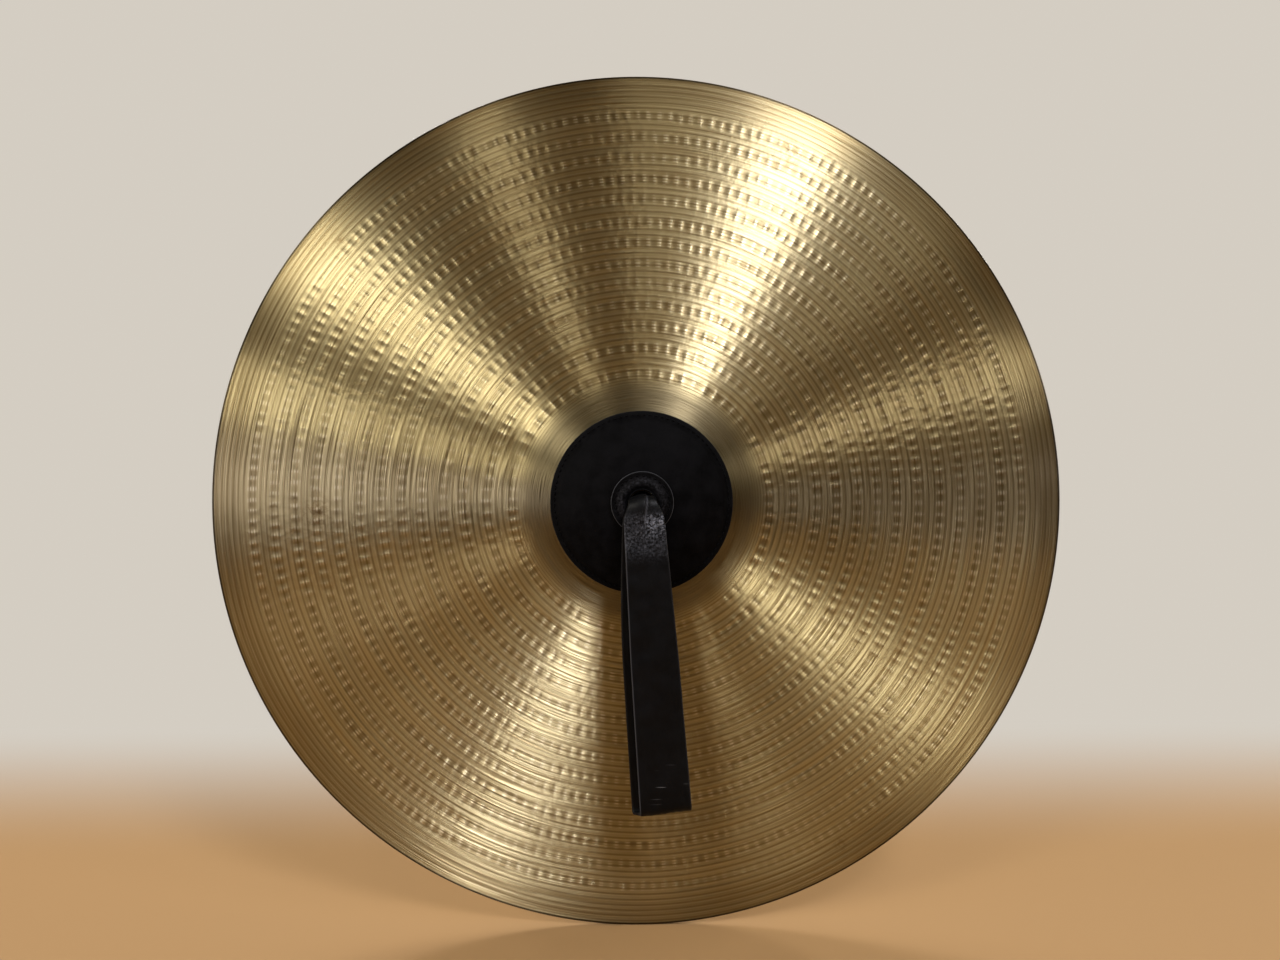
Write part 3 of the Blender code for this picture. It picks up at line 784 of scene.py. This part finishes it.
# Evenly spaced points on a route of (y, z) corners, rounded by averaging over a short length
def smoothRoute(corners, count, blur):
    corners = np.array(corners, float)
    run = lengthsAlong(corners)
    samples = 4000
    dense = np.linspace(0, run[-1], samples)
    route = np.stack([np.interp(dense, run, corners[:, k]) for k in (0, 1)], -1)
    window = max(int(blur / run[-1] * samples), 1)
    kernel = np.hanning(window + 2)[1:-1]
    longer = np.concatenate((np.repeat(route[:1], window, 0), route, np.repeat(route[-1:], window, 0)))
    rounded = [np.convolve(longer[:, k], kernel / kernel.sum(), "same") for k in (0, 1)]
    rounded = np.stack(rounded, -1)[window:-window]
    ends = smooth(np.minimum(dense, run[-1] - dense) / (blur / 2))[:, None]
    rounded = rounded * ends + route * (1 - ends)
    run = lengthsAlong(rounded)
    even = np.linspace(0, run[-1], count)
    return np.stack([np.interp(even, run, rounded[:, k]) for k in (0, 1)], -1), even


# Outline of a flat band's section: across from -1 to 1 and through from -1 to 1, and 1 on cut edges
def bandSection(columns, arc):
    face = -np.cos(np.linspace(0, math.pi, columns))
    bend = halfTurn(arc + 2)[1:-1]
    across = np.concatenate((face, np.ones(arc), face[::-1], -np.ones(arc)))
    outwards = np.concatenate((np.zeros(columns), np.cos(bend), np.zeros(columns), -np.cos(bend)))
    through = np.concatenate((np.ones(columns), np.sin(bend), -np.ones(columns), -np.sin(bend)))
    return across, outwards, through, (outwards != 0).astype(float)


# A band carried along a route in the (y, z) plane: across is x, and through is square to the route
def sweptBand(route, width, thickness, shift, edge, section, relief=None):
    across, outwards, through = (part[None, :] for part in section[:3])
    heading = np.gradient(route, axis=0)
    heading = heading / np.linalg.norm(heading, axis=1)[:, None]
    normalY, normalZ = -heading[:, 1:], heading[:, :1]
    size = len(route)
    width, thickness, shift = (np.broadcast_to(part, size)[:, None] for part in (width, thickness, shift))
    x = shift + across * (width / 2 - edge) + outwards * edge
    out = through * thickness / 2
    if relief is not None:
        out = out + relief(x - shift)
    points = np.stack((x, route[:, :1] - normalY * out, route[:, 1:] - normalZ * out), -1)
    rows, columns = points.shape[:2]
    tube = gridFaces(rows, columns)
    caps = np.stack((np.arange(columns)[::-1], np.arange(columns) + (rows - 1) * columns))
    return points, [tube, caps]


# The strap's route, as height above the hinge and distance outside it: up through the throat, over
# the neck, down the front ply, round the fold, up the back ply and down the throat again
def strapRoute():
    form = strapForm
    bottom = -(form["length"] - form["loop"] / 2 - form["thickness"])
    ply = form["loop"] / 2 + form["thickness"] / 2
    fold = [(bottom - ply * math.sin(a), ply * math.cos(a)) for a in np.linspace(0, math.pi, 25)]
    front = [(1.4, -20), (1.4, -6.0), (2.1, -1.5), (1.6, 1.6), (-1.0, 3.0), (-8, 3.4), (-20, 4.0), (-34, ply)]
    back = [(-34, -ply), (-20, -3.5), (-10, -1.9), (-5, -1.7), (-2.2, -3.4), (-1.4, -7.0), (-1.4, -20)]
    return smoothRoute(front + fold + back, form["stations"], 5.0)


# Each stretch is where a form begins below the hinge, and the length over which it rises
strapStretch = dict(
    neck=(2, 16), crown=(1, 19), waves=(3, 10), slant=(90, 70), drop=(130, 30),
    rubAndSheen=(3, 6), rubAndSheenEnd=(18, 16), edges=(8, 12), creaseHighlight=(-3, 3), creaseHighlightEnd=(8, 9),
)
neckForm = dict(
    frontSwell=0.5, swell=0.1, step=0.75, stepWidth=0.9, crown=0.9, groove=0.35, grooveAt=0.3,
    grooveWidth=0.5)
strapWaves = ((0.16, 17, 12), (0.05, 5, 21))  # height, wavelength and seed
# The shine, the left edge's extra grey and the line along the crease are painted highlights
strapWear = dict(
    shoulder=0.34, shine=0.9, shineAt=11, shineReach=4.5, scratchesAt=(146, 2), scratchesReach=(9, 8),
    leftEdge=0.45, rightEdge=0.12, backEdges=0.25, creaseHighlight=0.8, creaseHighlightWidth=0.34)


# Width of the band at each point of its route, and how far the point is inside the throat
def strapWidth(route):
    form = strapForm
    inThroat = rise(-route[:, 1], 2.0, 3.0) * (np.abs(route[:, 0]) < form["neckRadius"])
    depths = (-form["neckRadius"], form["shoulderDrop"], form["length"] / 2, form["length"])
    widths = (form["neckWidth"], form["shoulderWidth"], form["gripWidth"], form["foldWidth"])
    width = np.interp(-route[:, 0], depths, widths) * (1 - inThroat) + form["throatWidth"] * inThroat
    kernel = np.hanning(9) / np.hanning(9).sum()
    return np.convolve(np.pad(width, 4, "edge"), kernel, "valid"), inThroat


def strapShape():
    form, neck, wear = strapForm, neckForm, strapWear
    route, run = strapRoute()
    turnAt = int(np.argmin(route[:, 0]))
    isBack = np.arange(len(route)) > turnAt
    width, inThroat = strapWidth(route)
    depth, isFront = -route[:, :1], ~isBack[:, None]
    atNeck = 1 - rise(depth[:, 0], *strapStretch["neck"])
    thickness = form["thickness"] + neck["frontSwell"] * atNeck * (1 - isBack) + neck["swell"] * atNeck
    # Below its middle the back ply lies to the left of the front one, and the fold runs askew
    share = np.clip(depth[:, 0] / form["length"] * 2, 0, 1)
    askew = rise(run, run[turnAt], 4) * np.sin(math.pi / 2 * share) * (1 - inThroat)
    crease = np.interp(depth, *form["crease"])

    # The split ends are squeezed together at the neck: the left half rides over the right along a
    # crease that fades out below, and the band is crowned where it is pinched
    def relief(x):
        half = width[:, None] / 2
        pinched = 1 - rise(depth, *strapStretch["crown"])
        right = rise(x - crease, -neck["stepWidth"], neck["stepWidth"])
        stepUp = neck["step"] * pinched * (1 - right) * smooth((x + half) / half)
        crown = neck["crown"] * pinched * (1 - (x / half) ** 2)
        groove = -neck["groove"] * pinched * bump(x - crease - neck["grooveAt"], neck["grooveWidth"])
        waves = sum(height * ripple(x, depth, wavelength, seed) for height, wavelength, seed in strapWaves)
        return isFront * (stepUp + crown + groove) + waves * rise(depth, *strapStretch["waves"])

    section = bandSection(form["faceColumns"], form["arc"])
    shift = -form["backShift"] * askew
    points, faces = sweptBand(route, width, thickness, shift, form["edge"], section, relief)
    slant = math.tan(math.radians(form["slant"])) * rise(depth, *strapStretch["slant"])
    points[..., 1] += slant * points[..., 0] * 0.9
    points[..., 1] -= form["foldDrop"] * (askew[:, None] * rise(depth, *strapStretch["drop"]))
    points[..., 2] += hingeHeight

    # Rubbed at the shoulder and given painted sheen there, most on its right; scratched near the fold; and
    # grey where it is cut, along its edges, lighter on the left and front as painted highlight, with a
    # painted highlight line along the crease
    x = points[..., 0]
    shine = bump(depth - wear["shineAt"], wear["shineReach"]) * smooth((x - crease) / 1.2)
    shoulder = wear["shoulder"] * (1 - rise(depth, *strapStretch["rubAndSheenEnd"]))
    rubAndSheen = isFront * rise(depth, *strapStretch["rubAndSheen"]) * (shoulder + wear["shine"] * shine)
    (down, right), (reachDown, reachAcross) = wear["scratchesAt"], wear["scratchesReach"]
    worn = isFront * bump(depth - down, reachDown) * bump(x - right, reachAcross)
    across, _, through, isEdge = section
    edges = isEdge * np.where(across < 0, wear["leftEdge"], wear["rightEdge"]) * rise(through, -0.8, 1)
    edges = edges * rise(depth, *strapStretch["edges"]) * np.where(isFront, 1, wear["backEdges"])
    creaseHighlight = wear["creaseHighlight"] * isFront * bump(x - crease, wear["creaseHighlightWidth"]) * rise(depth, *strapStretch["creaseHighlight"])
    creaseHighlight = creaseHighlight * (1 - rise(depth, *strapStretch["creaseHighlightEnd"]))
    marks = {"cutAndHighlight": np.maximum(edges, creaseHighlight), "rubAndSheen": rubAndSheen, "worn": worn}
    return points.reshape(-1, 3), faces, {name: share.ravel() for name, share in marks.items()}


strapPoints, strapFaces, strapMarks = strapShape()
for side in sides:
    strap = addPiece(
        "hand_strap", side, lean(strapPoints), strapFaces, strapHide, None,
        ["strap", "strap_throat"], strapMarks)
    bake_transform(strap)
print("straps ready")

# KNOT
knotForm = dict(
    width=8.0, thickness=1.8, pitch=12.5, reach=30.0, ease=0.6, taper=0.12, edge=0.5, stations=70,
    faceColumns=9, arc=4)


# One tail of the crown knot, as run from the axis and height: out of the throat, back over itself
# in a bight, down between the runs of the next tail and out along the bell's wall
def tailRoute():
    form = knotForm
    apex = float(innerHeight(np.float64(0)))
    half = (form["pitch"] + form["width"]) / 2
    bight = form["thickness"] + gap
    reachOf = half + bight + form["thickness"] / 2
    top = apex - float(innerHeight(np.float64(math.hypot(reachOf, half)))) + gap
    low = top + form["thickness"] / 2
    middle, high = low + bight, low + 2 * bight
    window = (form["pitch"] - form["width"]) / 2
    turn = np.linspace(0, math.pi, 9)
    corners = [(-gap, low)] + [(-half - bight * math.sin(a), middle - bight * math.cos(a)) for a in turn]
    share = np.linspace(0, 1, 6)
    corners += list(zip(window * (2 * share - 1), high + (middle - high) * smooth(share)))
    run = np.linspace(half, form["reach"], 5)
    wall = apex - innerHeight(np.hypot(run, half)) + gap + 0.6 * form["thickness"]
    corners += list(zip(run, (middle + wall + np.hypot(middle - wall, form["ease"])) / 2))
    return smoothRoute([(r, apex - d) for r, d in corners], form["stations"], 1.2)[0]


# The tail is shaped running up and laid down to run to the right, so its faces turn over
tailRun, tailSection = tailRoute(), bandSection(knotForm["faceColumns"], knotForm["arc"])
tailWidth = knotForm["width"] * (1 - knotForm["taper"] * smooth(np.linspace(-4, 1, len(tailRun))))
tail, tailFaces = sweptBand(
    tailRun, tailWidth, knotForm["thickness"], knotForm["pitch"] / 2, knotForm["edge"], tailSection)
tail, tailFaces = tail[..., [1, 0, 2]], [group[:, ::-1] for group in tailFaces]
tailCut = np.broadcast_to(tailSection[3], tail.shape[:2]).ravel()
for side in sides:
    for quarter in range(4):
        points = lean(spin(tail, quarter * math.pi / 2).reshape(-1, 3))
        addPiece(
            f"split_tail_{quarter + 1}", side, points, tailFaces, strapHide, "pad",
            [f"knot_tail_{quarter + 1}"], {"cutAndHighlight": tailCut})
print("knots ready")

# FLOOR AND BACKDROP
stageForm = dict(
    floorColour="a2825a", wallColour="d6cfc4", wallStrength=0.98, wallFrom=0.1, wallFull=0.45, width=14.0,
    front=-1.2, back=2.6, cove=0.9, height=5.5, floorRows=29, coveRows=24,
)


# One sweep: flat floor, a quarter round cove behind the object, then an upright wall
def stageSweep():
    form = stageForm
    flat = form["back"] - form["cove"]
    bend = np.linspace(0, math.pi / 2, form["coveRows"])
    floor = np.linspace(form["front"], flat, form["floorRows"] + 1)[:-1]
    y = np.concatenate((floor, flat + form["cove"] * np.sin(bend), [form["back"]]))
    z = np.concatenate((np.zeros(len(floor)), form["cove"] * (1 - np.cos(bend)), [form["height"]]))
    z = z + cadBox[0][2]
    x = np.array((form["width"] / 2, -form["width"] / 2))
    points = np.stack(np.broadcast_arrays(x[None, :], y[:, None], z[:, None]), -1) / mm
    faces = gridFaces(len(y), 2, closeColumns=False)
    return points.reshape(-1, 3), [faces]


# Matt painted board. Far behind the object it fades into an even pale wall for what is seen
# directly or mirrored, so that the background does not depend on the lamps.
def stagePaint():
    material, tree, shader = newMaterial("palePaintedBoard")
    place = add(tree, "TexCoord").node.outputs["Object"]
    behind = add(tree, "SeparateXYZ", {0: place}).node.outputs["Y"]
    fade = {"Value": behind, "From Min": stageForm["wallFrom"], "From Max": stageForm["wallFull"]}
    fade = add(tree, "MapRange", fade, interpolation_type="SMOOTHSTEP")
    rays = add(tree, "LightPath").node.outputs
    seen = rays["Is Camera Ray"]
    for ray in ("Is Glossy Ray", "Is Transmission Ray"):
        seen = add(tree, "Math", {0: seen, 1: rays[ray]}, operation="MAXIMUM")
    share = add(tree, "Math", {0: fade, 1: seen}, operation="MULTIPLY")
    paint = colour(stageForm["floorColour"])
    finishShader(tree, shader, Base_Color=paint, Roughness=0.9, Specular_IOR_Level=0.1)
    glow = {"Color": colour(stageForm["wallColour"]), "Strength": stageForm["wallStrength"]}
    glow = add(tree, "Emission", glow)
    mixed = add(tree, "MixShader", {0: share, 1: shader.outputs[0], 2: glow})
    tree.links.new(mixed, tree.nodes["Material Output"].inputs["Surface"])
    return material


stagePoints, stageFaces = stageSweep()
addMesh("studio_sweep", stagePoints, stageFaces, stagePaint())

# LIGHT
# Each lamp's azimuth is counted from the right of the plate that faces it, and its tilt from the
# plate's axis. A lamp draws one bright fan at its own azimuth and a fainter one opposite.
lampDistance = 1.9
lamps = (
    dict(azimuth=64.8, tilt=45, size=(0.3, 0.5), power=18.0, tint="faf8ff"),
    dict(azimuth=62, tilt=66, size=(0.1, 0.3), power=2.4, tint="fffaf6"),
    dict(azimuth=44, tilt=45, size=(0.4, 0.5), power=1.3, tint="fff6e6"),
    dict(azimuth=18, tilt=46, size=(0.09, 0.5), power=2.4, tint="fff4e4"),
    dict(azimuth=84, tilt=62, size=(0.5, 0.5), power=2.2, tint="fff6e6"),
    dict(azimuth=112, tilt=50, size=(0.12, 0.5), power=2.1, tint="fff6e6"),
    dict(azimuth=143.8, tilt=46, size=(0.25, 0.5), power=11.8, tint="fffaee"),
    dict(azimuth=164.8, tilt=74, size=(0.28, 0.5), power=6.2, tint="fff8e8"),
    dict(azimuth=177, tilt=73, size=(0.45, 0.45), power=4.1, tint="f9f2fc", diamond=True),
    dict(azimuth=182, tilt=46, size=(0.3, 0.5), power=1.3, tint="f2f0ff"),
)
room = dict(low="604a32", high="47423b", lowUntil=-0.3, highFrom=0.4, strength=0.95)


def addLamp(side, number, settings):
    light = bpy.data.lights.new(f"{side}_lamp_{number}", "AREA")
    light.shape = "RECTANGLE"
    light.size, light.size_y = settings["size"]
    light.energy = settings["power"]
    light.color = colour(settings["tint"])[:3]
    lamp = bpy.data.objects.new(light.name, light)
    bpy.context.scene.collection.objects.link(lamp)
    azimuth, tilt = math.radians(settings["azimuth"]), math.radians(settings["tilt"])
    inFrame = (math.sin(tilt) * math.cos(azimuth), math.sin(tilt) * math.sin(azimuth), math.cos(tilt))
    spot = stand(np.array(inFrame) * lampDistance, side)
    outwards = stand(np.array((0.0, 0.0, 1.0)), side)
    back = spot / np.linalg.norm(spot)
    long = outwards - back * float(outwards @ back)  # the lamp's long side points to the axis
    long = long / np.linalg.norm(long)
    wide = np.cross(long, back)
    if settings.get("diamond"):  # on a corner, it dies away softly to both sides
        wide, long = (wide + long) / math.sqrt(2), (long - wide) / math.sqrt(2)
    axes = np.column_stack((wide, long, back, spot))
    lamp.matrix_world = Matrix([*axes.tolist(), (0, 0, 0, 1)])
    lamp.visible_camera = False


for side in sides:
    for number, settings in enumerate(lamps):
        addLamp(side, number + 1, settings)

# The room beyond the backdrop: dim, browner below and greyer above
world = bpy.data.worlds.new("dimRoom")
world.use_nodes = True
worldTree = world.node_tree
upwards = add(worldTree, "TexCoord").node.outputs["Generated"]
upwards = add(worldTree, "SeparateXYZ", {0: upwards}).node.outputs["Z"]
upwards = {"Value": upwards, "From Min": room["lowUntil"], "From Max": room["highFrom"]}
upwards = add(worldTree, "MapRange", upwards, interpolation_type="SMOOTHSTEP")
background = worldTree.nodes["Background"]
background.inputs["Strength"].default_value = room["strength"]
glow = {0: upwards, 6: colour(room["low"]), 7: colour(room["high"])}
glow = add(worldTree, "Mix", glow, data_type="RGBA")
worldTree.links.new(glow, background.inputs["Color"])
bpy.context.scene.world = world

# CAMERA
viewpoint = dict(x=-0.012, y=-0.555, z=0.0123, lens=26.0, sensor=36.0)
cameraData = bpy.data.cameras.new("photoView")
cameraData.lens, cameraData.sensor_width = viewpoint["lens"], viewpoint["sensor"]
cameraData.clip_start = 0.01
camera = bpy.data.objects.new("photoView", cameraData)
bpy.context.scene.collection.objects.link(camera)
camera.location = (viewpoint["x"], viewpoint["y"], viewpoint["z"])
camera.rotation_euler = (math.pi / 2, 0, math.atan2(viewpoint["x"], -viewpoint["y"]))
bpy.context.scene.camera = camera
bpy.context.scene.view_settings.view_transform = "Standard"

print("scene ready")
